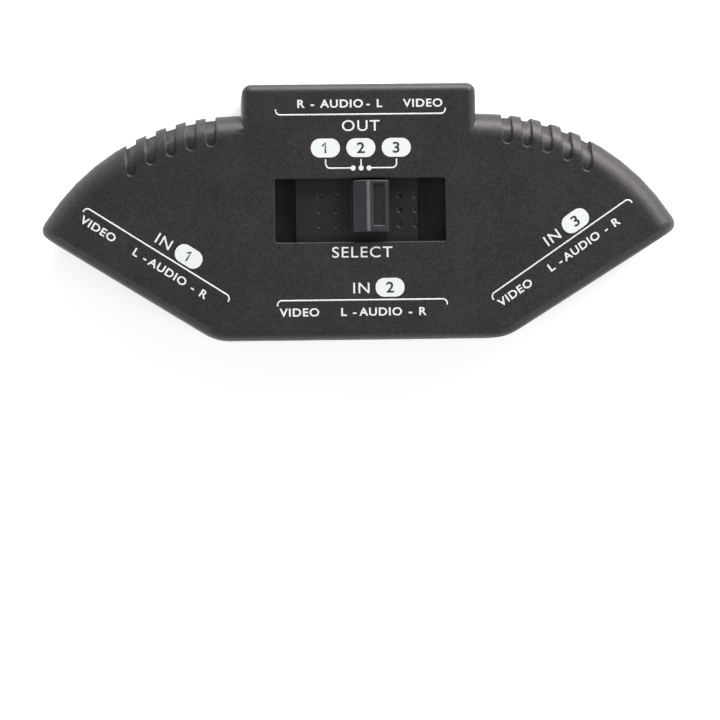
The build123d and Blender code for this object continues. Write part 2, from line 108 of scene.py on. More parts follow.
camera_data = bpy.data.cameras.new("camera")
camera_data.sensor_width = sensor_width
camera_data.lens = camera_height * sensor_width / (frame_width * mm_per_pixel * mm)
camera = bpy.data.objects.new("camera", camera_data)
camera_turn = Matrix.Rotation(lean, 3, "Y") @ Matrix.Rotation(roll, 3, "Z")
away = Vector((-case_in_frame[0] * mm, -case_in_frame[1] * mm, camera_height))
camera.location = Vector((0, 0, top_z)) + camera_turn @ away
camera.rotation_euler = camera_turn.to_euler()
bpy.context.scene.collection.objects.link(camera)
bpy.context.scene.camera = camera
print(f"lens {camera_data.lens:.1f} mm")

# %% [markdown]
# ## Building node trees
#
# Every finish below is a small tree of nodes. One function adds a node, sets its options and the values
# of its inputs, and links other nodes into it. Colours are written as sRGB hex values, as a picture
# editor shows them, and turned to the linear values that a shader takes.

# %% Node and colour helpers
def add(tree, kind, links=None, values=None, **settings):
    """Adds a node. links and values are given by input name, or by number where names repeat."""
    node = tree.nodes.new(kind)
    for name, value in settings.items():
        setattr(node, name, value)
    for name, value in (values or {}).items():
        node.inputs[name].default_value = value
    for name, socket in (links or {}).items():
        tree.links.new(socket, node.inputs[name])
    return node


def linear(colour):
    """An sRGB hex colour as linear red, green, blue and alpha."""
    channels = [int(colour[start:start + 2], 16) / 255 for start in (1, 3, 5)]
    return *[c / 12.92 if c < 0.04045 else ((c + 0.055) / 1.055) ** 2.4 for c in channels], 1.0


# %% [markdown]
# ## Floor and light
#
# The object lies on a white sweep in soft light. A wide soft box stands low behind it and a little to
# the right: its reflection runs along the rounded rear edges, which is what shows that they are round.
# Two weaker boxes stand high at the sides in front and draw a thin line along the slanted front edges.
# The sky is white round the horizon and darker overhead, so the top face mirrors little and stays
# black, but to the eye it is white all over. The floor adds a little light of its own, for the eye and
# for reflections only, so that it comes out white and still keeps a faint shadow. It is clear from
# below, so the underside can be looked at too.

# %% Floor, sky and soft boxes
sky_overhead = 0.2
sky_white_below = 0.15  # sine of the elevation up to which the sky is white
sky_dark_above = 0.75  # and the one from which it is at its darkest
floor_white = "#f4f4f4"
floor_glow = 0.47
soft_boxes = {  # place and size in metres, power in watts
    "rear_soft_box": (Vector((0.36, 0.8, 0.36)), (1.2, 0.5), 18.0),
    "left_soft_box": (Vector((-0.75, -0.5, 0.8)), (0.4, 0.4), 3.5),
    "right_soft_box": (Vector((0.75, -0.5, 0.8)), (0.4, 0.4), 3.0),
}
lamp_white = "#fffcf9"
floor_half = 3.0
floor_gap = 0.05 * mm


def seen_directly(tree):
    """1 where the eye looks, also by a reflection or through glass, and 0 for light on a surface."""
    path = add(tree, "ShaderNodeLightPath").outputs
    mirrored = add(
        tree,
        "ShaderNodeMath",
        {0: path["Is Glossy Ray"], 1: path["Is Transmission Ray"]},
        operation="MAXIMUM",
    )
    seen = add(
        tree, "ShaderNodeMath", {0: path["Is Camera Ray"], 1: mirrored.outputs[0]}, operation="MAXIMUM"
    )
    return seen.outputs[0]


sky = bpy.data.worlds.new("studio_sky")
sky.use_nodes = True
sky.node_tree.nodes.clear()
towards = add(sky.node_tree, "ShaderNodeTexCoord").outputs["Generated"]
elevation = add(sky.node_tree, "ShaderNodeSeparateXYZ", {"Vector": towards}).outputs["Z"]
sky_level = add(
    sky.node_tree,
    "ShaderNodeMapRange",
    {"Value": elevation},
    {"From Min": sky_white_below, "From Max": sky_dark_above, "To Min": 1.0, "To Max": sky_overhead},
    interpolation_type="SMOOTHSTEP",
)
eye = add(sky.node_tree, "ShaderNodeLightPath").outputs["Is Camera Ray"]
sky_strength = add(
    sky.node_tree, "ShaderNodeMath", {0: sky_level.outputs[0], 1: eye}, operation="MAXIMUM"
)
sky_light = add(
    sky.node_tree,
    "ShaderNodeBackground",
    {"Strength": sky_strength.outputs[0]},
    {"Color": linear("#ffffff")},
)
add(sky.node_tree, "ShaderNodeOutputWorld", {"Surface": sky_light.outputs[0]})
bpy.context.scene.world = sky

paper = bpy.data.materials.new("white_paper_sweep")
paper.use_nodes = True
paper_tree = paper.node_tree
paper_tree.nodes.clear()
matt = add(paper_tree, "ShaderNodeBsdfDiffuse", values={"Color": linear(floor_white)})
glow_level = add(
    paper_tree, "ShaderNodeMath", {0: seen_directly(paper_tree)}, {1: floor_glow}, operation="MULTIPLY"
)
glow = add(paper_tree, "ShaderNodeEmission", {"Strength": glow_level.outputs[0]})
lit = add(paper_tree, "ShaderNodeAddShader", {0: matt.outputs[0], 1: glow.outputs[0]})
clear = add(paper_tree, "ShaderNodeBsdfTransparent")
below = add(paper_tree, "ShaderNodeNewGeometry").outputs["Backfacing"]
sheet = add(paper_tree, "ShaderNodeMixShader", {0: below, 1: lit.outputs[0], 2: clear.outputs[0]})
add(paper_tree, "ShaderNodeOutputMaterial", {"Surface": sheet.outputs[0]})

floor_mesh = bpy.data.meshes.new("floor")
floor_corners = [
    (x * floor_half, y * floor_half, -floor_gap) for x, y in ((-1, -1), (1, -1), (1, 1), (-1, 1))
]
floor_mesh.from_pydata(floor_corners, [], [(0, 1, 2, 3)])
floor_mesh.materials.append(paper)
floor = bpy.data.objects.new("floor", floor_mesh)
bpy.context.scene.collection.objects.link(floor)

for name, (place, size, power) in soft_boxes.items():
    lamp_data = bpy.data.lights.new(name, "AREA")
    lamp_data.shape = "RECTANGLE"
    lamp_data.size, lamp_data.size_y = size
    lamp_data.energy = power
    lamp_data.color = linear(lamp_white)[:3]
    lamp = bpy.data.objects.new(name, lamp_data)
    lamp.location = place
    lamp.rotation_euler = (-place).to_track_quat("-Z", "Y").to_euler()
    bpy.context.scene.collection.objects.link(lamp)
    print(f"{name}: {power} W")

# %% [markdown]
# ## Finishes
#
# Each finish starts from what the real material is and how its surface was made. They share one
# build-up: a fine grain that shifts the colour and raises a little relief, and a broad, slow change of
# gloss, as handling and mould flow leave it. Rolled springs get their grain drawn out along one
# direction. Grain sizes are millimetres on the object. A texture cut finer than a pixel is drawn as
# coarse as it needs to be to show. Moulded plastic also runs soft over its edges, so grooves and rims
# catch the light on one side and lie dark on the other.

# %% A finish from grain and gloss
grain_detail, grain_roughness = 5.0, 0.66
gloss_patch = 14.0  # size of the broad changes of gloss, in millimetres
gloss_detail = 2.0
noise_range = 0.3, 0.7  # most values of a noise texture lie between these
edge_samples = 8


def finish(
    name, dark, light, grain, relief, roughness, metallic=0.0, ior=1.5, drawn_out=(1, 1, 1), soft=0
):
    """A material. Lengths are in millimetres, and roughness is a lowest and a highest value."""
    material = bpy.data.materials.new(name)
    material.use_nodes = True
    tree = material.node_tree
    shader = tree.nodes["Principled BSDF"]
    shader.inputs["Metallic"].default_value = metallic
    shader.inputs["IOR"].default_value = ior
    place = add(tree, "ShaderNodeTexCoord").outputs["Object"]
    along = add(tree, "ShaderNodeMapping", {"Vector": place}, {"Scale": drawn_out})
    fine = add(
        tree,
        "ShaderNodeTexNoise",
        {"Vector": along.outputs[0]},
        {"Scale": 1 / (grain * mm), "Detail": grain_detail, "Roughness": grain_roughness},
    )
    broad = add(
        tree,
        "ShaderNodeTexNoise",
        {"Vector": place},
        {"Scale": 1 / (gloss_patch * mm), "Detail": gloss_detail},
    )
    colour = add(tree, "ShaderNodeValToRGB", {"Fac": fine.outputs[0]})
    for stop, position, shade in zip(colour.color_ramp.elements, noise_range, (dark, light)):
        stop.position = position
        stop.color = linear(shade)
    gloss = add(
        tree,
        "ShaderNodeMapRange",
        {"Value": broad.outputs[0]},
        {
            "From Min": noise_range[0],
            "From Max": noise_range[1],
            "To Min": roughness[0],
            "To Max": roughness[1],
        },
    )
    bump = add(tree, "ShaderNodeBump", {"Height": fine.outputs[0]}, {"Distance": relief * mm})
    if soft:
        edges = add(tree, "ShaderNodeBevel", values={"Radius": soft * mm}, samples=edge_samples)
        tree.links.new(edges.outputs[0], bump.inputs["Normal"])
    tree.links.new(colour.outputs[0], shader.inputs["Base Color"])
    tree.links.new(gloss.outputs[0], shader.inputs["Roughness"])
    tree.links.new(bump.outputs[0], shader.inputs["Normal"])
    return material


# %% [markdown]
# The case is ABS from a spark-eroded mould: black, fine-grained and dull, so that it shows soft
# reflections only where it turns away. The selector is a smoother ABS, coloured darker than the case
# as painted shade, because it lies down in the window. The jack blocks are plain black PBT, glossier
# still. A number in a white field is left open, so it shows bare ABS.

# %% Black plastics
case_abs = finish(
    "abs_spark_eroded_black", "#0d0b0c", "#322e2f",
    grain=0.6, relief=0.03, roughness=(0.42, 0.5), ior=1.53, soft=0.5,
)
# Painted shade: the selector's colours are darker than the case's, for its place down in the window.
selector_abs = finish(
    "abs_satin_black_painted_shade_and_light", "#141414", "#1b1a1b",
    grain=0.8, relief=0.006, roughness=(0.38, 0.48), ior=1.53, soft=0.35,
)
block_pbt = finish(
    "pbt_moulded_black", "#161617", "#1c1c1d",
    grain=0.6, relief=0.004, roughness=(0.32, 0.42), ior=1.56,
)
bare_abs = finish(
    "abs_under_print", "#232223", "#2b2a2b",
    grain=0.45, relief=0.004, roughness=(0.5, 0.58), ior=1.53,
)

# %% [markdown]
# The knob's upper part is coloured a dull blue grey as painted light, where it stands up out of the
# shaded window, with a faint streak along the way that it slides. Its ridge, the highest line, carries
# a patchy painted highlight, lighter still, and the floor of the scoop stays black.

# %% The knob's painted light
# Painted light: the knob's top is coloured lighter, and its ridge gets a painted highlight.
lit_top_from, lit_top_to = 0.98, 0.8  # below the ridge, in millimetres: where the black turns to grey
highlight_from, highlight_to = 0.12, 0.03  # below the ridge: where the grey turns to the painted highlight
painted_lit_grey = "#222226"
painted_lit_streak_grey = "#2c2c33"
painted_highlight_grey = "#87878d"
streak_width = 0.35
streak_stretch = 0.12
streak_detail = 4.0

knob_tree = selector_abs.node_tree
shader = knob_tree.nodes["Principled BSDF"]
ridge_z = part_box("selector_slider")[1].z
plain_black = shader.inputs["Base Color"].links[0].from_socket
on_knob = add(knob_tree, "ShaderNodeTexCoord").outputs["Object"]
knob_z = add(knob_tree, "ShaderNodeSeparateXYZ", {"Vector": on_knob}).outputs["Z"]
painted_lit_top, painted_ridge_highlight = [
    add(
        knob_tree,
        "ShaderNodeMapRange",
        {"Value": knob_z},
        {"From Min": ridge_z - start * mm, "From Max": ridge_z - end * mm},
    )
    for start, end in ((lit_top_from, lit_top_to), (highlight_from, highlight_to))
]
stretched = add(knob_tree, "ShaderNodeMapping", {"Vector": on_knob}, {"Scale": (streak_stretch, 1, 1)})
streaks = add(
    knob_tree,
    "ShaderNodeTexNoise",
    {"Vector": stretched.outputs[0]},
    {"Scale": 1 / (streak_width * mm), "Detail": streak_detail},
)
grey = add(
    knob_tree,
    "ShaderNodeMix",
    {"Factor": streaks.outputs[0]},
    {6: linear(painted_lit_grey), 7: linear(painted_lit_streak_grey)},
    data_type="RGBA",
)
patchy = add(
    knob_tree, "ShaderNodeMath", {0: painted_ridge_highlight.outputs[0], 1: streaks.outputs[0]}, operation="MULTIPLY"
)
topped = add(
    knob_tree,
    "ShaderNodeMix",
    {"Factor": patchy.outputs[0], 6: grey.outputs[2]},
    {7: linear(painted_highlight_grey)},
    data_type="RGBA",
)
# Painted light: the knob's black turns to the lit grey towards its top.
painted_light_colour = add(
    knob_tree,
    "ShaderNodeMix",
    {"Factor": painted_lit_top.outputs[0], 6: plain_black, 7: topped.outputs[2]},
    data_type="RGBA",
)
knob_tree.links.new(painted_light_colour.outputs[2], shader.inputs["Base Color"])

# %% [markdown]
# The print is white pad-printing ink, thin and a little uneven. The coloured bushes are polythene,
# which is waxy and slightly see-through, so they have a soft gloss.

# %% Ink and coloured plastics
white_ink = finish(
    "pad_print_ink_white", "#d6dbde", "#e6eaec",
    grain=0.5, relief=0.003, roughness=(0.45, 0.6),
)
bush_yellow = finish(
    "polythene_moulded_yellow", "#e0ac12", "#ecba1e",
    grain=1.2, relief=0.006, roughness=(0.3, 0.4), ior=1.51,
)
bush_white = finish(
    "polythene_moulded_white", "#dedcd4", "#eae8e2",
    grain=1.2, relief=0.006, roughness=(0.3, 0.4), ior=1.51,
)
bush_red = finish(
    "polythene_moulded_red", "#b3201c", "#c22a24",
    grain=1.2, relief=0.006, roughness=(0.3, 0.4), ior=1.51,
)

# %% [markdown]
# Metals take their colour from the reflection. Nickel plate on the sleeves is bright and faintly
# yellow, the screws are zinc plated and duller, the springs are bright rolled strip, and the pads are
# tinned. The board is paper laminate, coloured black as painted shade, so that the gaps of the window
# stay dark.

# %% Metals and board
nickel = finish(
    "nickel_plate_turned", "#cfcac0", "#dedad1",
    grain=0.3, relief=0.001, roughness=(0.16, 0.24), metallic=1.0,
)
zinc = finish(
    "zinc_plate_tumbled", "#b4b5b6", "#d2d2d0",
    grain=0.25, relief=0.004, roughness=(0.28, 0.42), metallic=1.0,
)
brass = finish(
    "brass_strip_rolled", "#c9a255", "#d8b468",
    grain=0.4, relief=0.001, roughness=(0.22, 0.32), metallic=1.0,
)
bronze = finish(
    "phosphor_bronze_rolled", "#b9803f", "#c98f4c",
    grain=0.3, relief=0.001, roughness=(0.25, 0.35), metallic=1.0, drawn_out=(0.1, 1, 1),
)
spring_steel = finish(
    "spring_steel_rolled", "#a9a9ab", "#c0c0c1",
    grain=0.3, relief=0.001, roughness=(0.22, 0.32), metallic=1.0, drawn_out=(0.1, 1, 1),
)
tin = finish(
    "tin_plate_dipped", "#bfc0bf", "#d3d3d0",
    grain=1.0, relief=0.004, roughness=(0.3, 0.42), metallic=1.0,
)
# Painted shade: the board is coloured black so that the window's gaps stay dark.
laminate = finish(
    "paper_laminate_painted_shade_black", "#1b1919", "#232020",
    grain=0.5, relief=0.006, roughness=(0.4, 0.5), ior=1.55,
)

# %% [markdown]
# ## Pieces that keep their construction shape
#
# The board, pads, springs, wipers and centre contacts are plain sheet and strip, so their own solids
# are already right. They only need their finish.

# %% Dress the strip and sheet pieces
finish_of_slot = {
    "board_laminate": laminate,
    "tinned_copper": tin,
    "spring_steel": spring_steel,
    "spring_bronze": bronze,
    "contact_brass": brass,
}
dressed = 0
for node in nodes.values():
    slot_finish = finish_of_slot.get(node.material_slots[0].material.name)
    if slot_finish:
        node.material_slots[0].material = slot_finish
        dressed += 1
print(f"{dressed} strip and sheet pieces dressed")

# %% [markdown]
# ## Mouldings
#
# No moulded edge is sharp, and it is the thin highlight along an edge that tells the eye so. Each
# moulding is a copy of its solid: its loose triangles are merged and flat ones joined, a narrow bevel
# rounds what is still sharp, and weighted normals keep the flats flat while the curved faces run
# smoothly into them. Modelling the case again by hand would only lose its size.
#
# Bevels must not cross. So each one takes only a share of the shortest edge beside it, and an edge
# stays sharp where it goes over from an outer edge into an inner one. Where a mitre of the rear arc
# ends close to the wall of a grip groove, the tiny edges there are closed up first.

# %% Soft-edged copies of the mouldings
merge_distance = 0.001 * mm
flat_angle = radians(0.5)
sharp_angle = radians(50)
grip_x = 34.0  # the grip grooves lie past this place, on both sides
grip_step = 0.15  # edges there that are shorter than this are closed up
bevel_share = 0.4  # of the shortest edge beside it
same_line = 0.9  # cosine of the angle under which two edges count as one line
bevel_steps = 2
case_edge = 0.14  # width of the bevels on the case and the selector
block_edge = 0.12  # and on the jack blocks


def settled(holder):
    """The object's mesh with its modifiers applied. The object itself is removed."""
    bpy.context.view_layer.update()
    graph = bpy.context.evaluated_depsgraph_get()
    mesh = bpy.data.meshes.new_from_object(holder.evaluated_get(graph), depsgraph=graph)
    bpy.data.objects.remove(holder)
    return mesh


def in_scene(name, mesh):
    """A new object at the origin, with its place in its mesh."""
    holder = bpy.data.objects.new(name, mesh)
    bpy.context.scene.collection.objects.link(holder)
    return holder


def finished(name, mesh, material, body, slot, *replaced):
    """Puts a finished mesh in the scene, on the body that carries it."""
    mesh.materials.clear()
    mesh.materials.append(material)
    made = in_scene(name, mesh)
    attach(made, body)
    if replaced:
        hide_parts(*replaced)
    print(f"{name}: {len(mesh.polygons)} faces")


def bevel_room(edge):
    """How wide a bevel an edge has room for, in metres."""
    beside = []
    for corner in edge.verts:
        along = (edge.other_vert(corner).co - corner.co).normalized()
        for other in corner.link_edges:
            leaving = other.other_vert(corner).co - corner.co
            in_line = abs(along.dot(leaving.normalized())) > same_line
            if in_line and other.calc_face_angle() > sharp_angle and other.is_convex != edge.is_convex:
                return 0
            if not in_line:
                beside.append(leaving.length)
    return bevel_share * min(beside)


def moulding(node, width, material, body, slot):
    """Copies a solid with its edges rounded to a width in millimetres, and nothing below the floor."""
    mesh = nodes[node].data.copy()
    mesh.attributes.remove(mesh.attributes["custom_normal"])
    shape = bmesh.new()
    shape.from_mesh(mesh)
    bmesh.ops.remove_doubles(shape, verts=shape.verts, dist=merge_distance)
    bmesh.ops.dissolve_limit(shape, angle_limit=flat_angle, verts=shape.verts, edges=shape.edges)
    grip_edges = [edge for edge in shape.edges if abs(edge.verts[0].co.x) > grip_x * mm]
    bmesh.ops.dissolve_degenerate(shape, dist=grip_step * mm, edges=grip_edges)
    for part in (*shape.faces, *shape.edges):
        part.smooth = True
    weight = shape.edges.layers.float.new("bevel_weight_edge")
    for edge in shape.edges:
        if edge.calc_face_angle() > sharp_angle:
            edge[weight] = min(1, bevel_room(edge) / (width * mm))
    shape.to_mesh(mesh)
    shape.free()
    holder = in_scene(f"{node}_form", mesh)
    bevel = holder.modifiers.new("soft_edges", "BEVEL")
    bevel.width = width * mm
    bevel.segments = bevel_steps
    bevel.limit_method = "WEIGHT"
    bevel.use_clamp_overlap = False
    bevel.loop_slide = False
    holder.modifiers.new("even_shading", "WEIGHTED_NORMAL").keep_sharp = True
    mesh = settled(holder)
    for vertex in mesh.vertices:
        vertex.co.z = max(vertex.co.z, cad_low.z)
    finished(f"{node}_moulding", mesh, material, body, slot, node)


moulding("upper_shell", case_edge, case_abs, "case", "case_plastic")
moulding("lower_shell", case_edge, case_abs, "case", "case_plastic")
moulding("selector_slider", case_edge, selector_abs, "selector", "selector_plastic")
for port in ("input_1", "input_2", "input_3", "output"):
    moulding(f"{port}_housing", block_edge, block_pbt, "case", "block_plastic")

# %% [markdown]
# ## Building with Geometry Nodes
#
# Jacks, screws, number fields and printed lines repeat, so a tree makes one and sets it on every mark.
# A mark is a loose point with directions stored on it. The tree's sizes are named inputs. At the end
# its instances are made real and get their material, and the result is kept as a plain mesh.

# %% Tree helpers
def new_tree(name, **inputs):
    """An empty tree with a geometry input and the named inputs. Returns it with its input sockets."""
    tree = bpy.data.node_groups.new(name, "GeometryNodeTree")
    tree.interface.new_socket("Geometry", in_out="OUTPUT", socket_type="NodeSocketGeometry")
    for label, kind in {"Geometry": "Geometry", **inputs}.items():
        tree.interface.new_socket(label, in_out="INPUT", socket_type=f"NodeSocket{kind}")
    return tree, add(tree, "NodeGroupInput").outputs


def end_tree(tree, geometry, material):
    """Makes the instances real, gives them their material and ends the tree."""
    real = add(tree, "GeometryNodeRealizeInstances", {"Geometry": geometry})
    coloured = add(
        tree, "GeometryNodeSetMaterial", {"Geometry": real.outputs[0], "Material": material}
    )
    add(tree, "NodeGroupOutput", {"Geometry": coloured.outputs[0]})


def marks(name, places, edges=(), **directions):
    """An object of loose points, or of points joined by edges, with directions stored on them."""
    mesh = bpy.data.meshes.new(name)
    mesh.from_pydata(places, edges, [])
    for label, vectors in directions.items():
        stored = mesh.attributes.new(label, "FLOAT_VECTOR", "POINT")
        stored.data.foreach_set("vector", [value for vector in vectors for value in vector])
    return in_scene(name, mesh)


def grown(holder, tree, **values):
    """The mesh that a tree makes from an object, with its inputs set by their identifiers."""
    modifier = holder.modifiers.new(tree.name, "NODES")
    modifier.node_group = tree
    for item in tree.interface.items_tree:
        if item.in_out == "INPUT" and item.name in values:
            modifier[item.identifier] = values[item.name]
    return settled(holder)


def smooth(mesh):
    """Shades a mesh smooth, apart from its sharp edges."""
    mesh.shade_smooth()
    mesh.set_sharp_from_angle(angle=sharp_angle)
    return mesh


# %% [markdown]
# ## Jacks
#
# A jack is a turned sleeve, nickel plated, round a coloured bush with the centre contact in its hole:
# yellow for video, white for the left channel and red for the right. A ring is a rounded rectangle
# swept round a circle, so its lip is round as a turned one is. The sleeves also have a flat tail that
# goes up through the board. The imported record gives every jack's middle, direction, radius and length.

# %% Turned rings
ring_sides = 64
lip_steps = 3


def ring_tree(name, tailed):
    """A tree that sets a ring on every mark, facing the mark's way, with a tail if asked."""
    tree, sizes = new_tree(
        name,
        Outer="Float",
        Inner="Float",
        Length="Float",
        Lip="Float",
        Tail="Vector",
        TailPlace="Vector",
        Material="Material",
    )
    wall = add(tree, "ShaderNodeMath", {0: sizes["Outer"], 1: sizes["Inner"]}, operation="SUBTRACT")
    both = add(tree, "ShaderNodeMath", {0: sizes["Outer"], 1: sizes["Inner"]}, operation="ADD")
    middle = add(tree, "ShaderNodeMath", {0: both.outputs[0]}, {1: 0.5}, operation="MULTIPLY")
    section = add(
        tree,
        "GeometryNodeCurvePrimitiveQuadrilateral",
        {"Width": wall.outputs[0], "Height": sizes["Length"]},
    )
    rounded = add(
        tree,
        "GeometryNodeFilletCurve",
        {"Curve": section.outputs[0], "Radius": sizes["Lip"]},
        {"Count": lip_steps},
        mode="POLY",
    )
    circle = add(
        tree,
        "GeometryNodeCurvePrimitiveCircle",
        {"Radius": middle.outputs[0]},
        {"Resolution": ring_sides},
    )
    upright = add(tree, "GeometryNodeSetCurveNormal", {"Curve": circle.outputs[0]}, mode="Z_UP")
    shape = add(
        tree,
        "GeometryNodeCurveToMesh",
        {"Curve": upright.outputs[0], "Profile Curve": rounded.outputs[0]},
    ).outputs[0]
    if tailed:
        strip = add(tree, "GeometryNodeMeshCube", {"Size": sizes["Tail"]})
        placed = add(
            tree,
            "GeometryNodeTransform",
            {"Geometry": strip.outputs[0], "Translation": sizes["TailPlace"]},
        )
        joined = add(tree, "GeometryNodeJoinGeometry", {"Geometry": shape})
        tree.links.new(placed.outputs[0], joined.inputs[0])
        shape = joined.outputs[0]
    facing = add(
        tree, "GeometryNodeInputNamedAttribute", values={"Name": "facing"}, data_type="FLOAT_VECTOR"
    )
    turned = add(
        tree,
        "FunctionNodeAxesToRotation",
        {"Primary Axis": facing.outputs[0]},
        {"Secondary Axis": (0, 0, 1)},
        primary_axis="Z",
        secondary_axis="Y",
    )
    copies = add(
        tree,
        "GeometryNodeInstanceOnPoints",
        {"Points": sizes["Geometry"], "Instance": shape, "Rotation": turned.outputs[0]},
    )
    end_tree(tree, copies.outputs[0], sizes["Material"])
    return tree


sleeve_wall = 0.5
bush_setback = 0.8  # face of a bush behind the end of its sleeve
bush_gap = 0.05
contact_hole_radius = 1.95
tail_width = 1.2
tail_thickness = 0.5
lip = 0.2

jacks = [mount for mount in frame["record"]["mounts"] if mount["name"].endswith("_jack")]
jack_radius = jacks[0]["dims"]["r_mm"]
jack_length = jacks[0]["dims"]["length_mm"]
sleeve_names = [name for name in nodes if name.endswith("_sleeves")]
tail_low = jack_radius - sleeve_wall
tail_high = (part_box(sleeve_names[0])[1].z - jacks[0]["pos_m"][2]) / mm

sleeves = grown(
    marks(
        "sleeve_marks",
        [mount["pos_m"] for mount in jacks],
        facing=[mount["axis"] for mount in jacks],
    ),
    ring_tree("turned_sleeve", tailed=True),
    Outer=jack_radius * mm,
    Inner=(jack_radius - sleeve_wall) * mm,
    Length=jack_length * mm,
    Lip=lip * mm,
    Tail=[size * mm for size in (tail_width, tail_high - tail_low, tail_thickness)],
    TailPlace=[at * mm for at in (0, (tail_high + tail_low) / 2, -(jack_length + tail_thickness) / 2)],
    Material=nickel,
)
finished("jack_sleeves", smooth(sleeves), nickel, "case", "plated_brass", *sleeve_names)

bush_tree = ring_tree("moulded_bush", tailed=False)
for channel, colour, material in (
    ("video", "yellow", bush_yellow),
    ("left", "white", bush_white),
    ("right", "red", bush_red),
):
    of_channel = [mount for mount in jacks if f"_{channel}_" in mount["name"]]
    bushes = grown(
        marks(
            f"{channel}_marks",
            [
                Vector(mount["pos_m"]) - Vector(mount["axis"]) * bush_setback / 2 * mm
                for mount in of_channel
            ],
            facing=[mount["axis"] for mount in of_channel],
        ),
        bush_tree,
        Outer=(jack_radius - sleeve_wall - bush_gap) * mm,
        Inner=contact_hole_radius * mm,
        Length=(jack_length - bush_setback) * mm,
        Lip=lip * mm,
        Material=material,
    )
    replaced = [mount["name"].replace("_jack", "_insulator") for mount in of_channel]
    finished(f"{channel}_bushes", smooth(bushes), material, "case", f"{colour}_plastic", *replaced)

# %% [markdown]
# ## Case screws
#
# Four small pan-head screws hold the shells together from below. One is turned from its profile, and a
# cross with tapering arms is cut out of its head. The tree sets it on the four places and turns each by
# a different amount, because a driver never stops twice at the same angle.

# %% Cross-head screws
screw_profile = [  # radius and height from the face of the head, in millimetres
    (0, 0), (0.7, 0.02), (1.15, 0.1), (1.45, 0.26), (1.62, 0.5), (1.7, 0.8),
    (1.7, 1.3), (0.98, 1.3), (0.98, 13.9), (0.5, 14.9), (0, 14.9),
]
screw_sides = 48
cross_length = 1.9
cross_width = 0.5
cross_depth = 0.75
cross_taper = 0.6
screw_turn_seed = 4


def turned(name, profile, sides):
    """A closed turned shape, from a profile that starts and ends on the axis."""
    mesh = bpy.data.meshes.new(name)
    shape = bmesh.new()
    outline = [shape.verts.new((radius * mm, 0, height * mm)) for radius, height in profile]
    edges = [shape.edges.new(pair) for pair in zip(outline, outline[1:])]
    bmesh.ops.spin(
        shape, geom=outline + edges, cent=(0, 0, 0), axis=(0, 0, 1), angle=2 * pi, steps=sides
    )
    bmesh.ops.remove_doubles(shape, verts=shape.verts, dist=merge_distance)
    bmesh.ops.recalc_face_normals(shape, faces=shape.faces)
    shape.to_mesh(mesh)
    shape.free()
    return mesh


def cross_bit():
    """The two crossed, tapering blades that a driver's bit presses into a head."""
    mesh = bpy.data.meshes.new("cross_bit")
    shape = bmesh.new()
    for length, width in ((cross_length, cross_width), (cross_width, cross_length)):
        blade = bmesh.ops.create_cube(shape, size=1)["verts"]
        for vertex in blade:
            deep = vertex.co.z > 0
            size = cross_taper if deep else 1
            vertex.co.x *= length * size * mm
            vertex.co.y *= width * size * mm
            vertex.co.z = (cross_depth if deep else -cross_depth) * mm
    shape.to_mesh(mesh)
    shape.free()
    return in_scene("cross_bit", mesh)


screw = in_scene("case_screw", turned("case_screw", screw_profile, screw_sides))
bit = cross_bit()
cut = screw.modifiers.new("cross_recess", "BOOLEAN")
cut.object = bit
cut.use_self = True
screw = in_scene("case_screw", settled(screw))
bpy.data.objects.remove(bit)

screw_tree, sizes = new_tree("set_screws", Screw="Object", Seed="Int", Material="Material")
screw_info = add(screw_tree, "GeometryNodeObjectInfo", {"Object": sizes["Screw"]})
angle = add(screw_tree, "FunctionNodeRandomValue", {"Seed": sizes["Seed"]}, {"Max": pi / 2})
about_z = add(screw_tree, "ShaderNodeCombineXYZ", {"Z": angle.outputs["Value"]})
turned_by = add(screw_tree, "FunctionNodeEulerToRotation", {"Euler": about_z.outputs[0]})
copies = add(
    screw_tree,
    "GeometryNodeInstanceOnPoints",
    {
        "Points": sizes["Geometry"],
        "Instance": screw_info.outputs["Geometry"],
        "Rotation": turned_by.outputs[0],
    },
)
end_tree(screw_tree, copies.outputs[0], sizes["Material"])

screw_low, screw_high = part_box("case_screws")
screw_corners = {}
for vertex in nodes["case_screws"].data.vertices:
    corner = vertex.co.x > 0, vertex.co.y > (screw_low.y + screw_high.y) / 2
    screw_corners.setdefault(corner, []).append(vertex.co)
screw_places = []
for points in screw_corners.values():
    spans = [
        (min(point[axis] for point in points), max(point[axis] for point in points)) for axis in (0, 1)
    ]
    screw_places.append((*[sum(span) / 2 for span in spans], screw_low.z))
screws = grown(
    marks("screw_marks", screw_places), screw_tree, Screw=screw, Seed=screw_turn_seed, Material=zinc
)
bpy.data.objects.remove(screw)
finished("case_screws_cross_head", smooth(screws), zinc, "case", "screw_steel", "case_screws")

# %% [markdown]
# ## Print
#
# The legends are pad printed on the top face: brackets over each set of jacks, numbered fields, and the
# line that leads from the numbers to the three places of the selector. Printed ink has a thickness, so
# everything here is a thin solid on the face. Lines follow a path, so a tree sweeps a flat strip along
# them and rounds their corners. Each legend is laid out in its own millimetres, from the middle of its
# bracket.

# %% Lines, fields and dots
ink = 0.03  # thickness of the print
on_ink = 1.5 * ink  # middle of a second layer, printed over the first
line_width = 0.36
corner_radius = 1.1
corner_steps = 8
bracket_half = 20.7
bracket_drop = 1.35
field_size = (7.07, 4.6)
field_corner = 2.2
field_corner_steps = 10
dot_size = 1.25


def legend_place(x, y, turn):
    """The place of a legend: its middle on the top face, and its turn about the vertical."""
    return Matrix.Translation((x * mm, y * mm, top_z)) @ Matrix.Rotation(turn, 4, "Z")


input_legends = {
    "1": legend_place(x=-49.3, y=-9.4, turn=radians(-32.5)),
    "2": legend_place(x=0.2, y=-21.6, turn=0),
    "3": legend_place(x=48.6, y=-9.2, turn=radians(34.3)),
}
output_legend = legend_place(x=0.3, y=23.65, turn=0)


def on_face(place, x, y, height=0.0):
    """A point of a legend, in metres on the object."""
    return place @ Vector((x * mm, y * mm, height * mm))


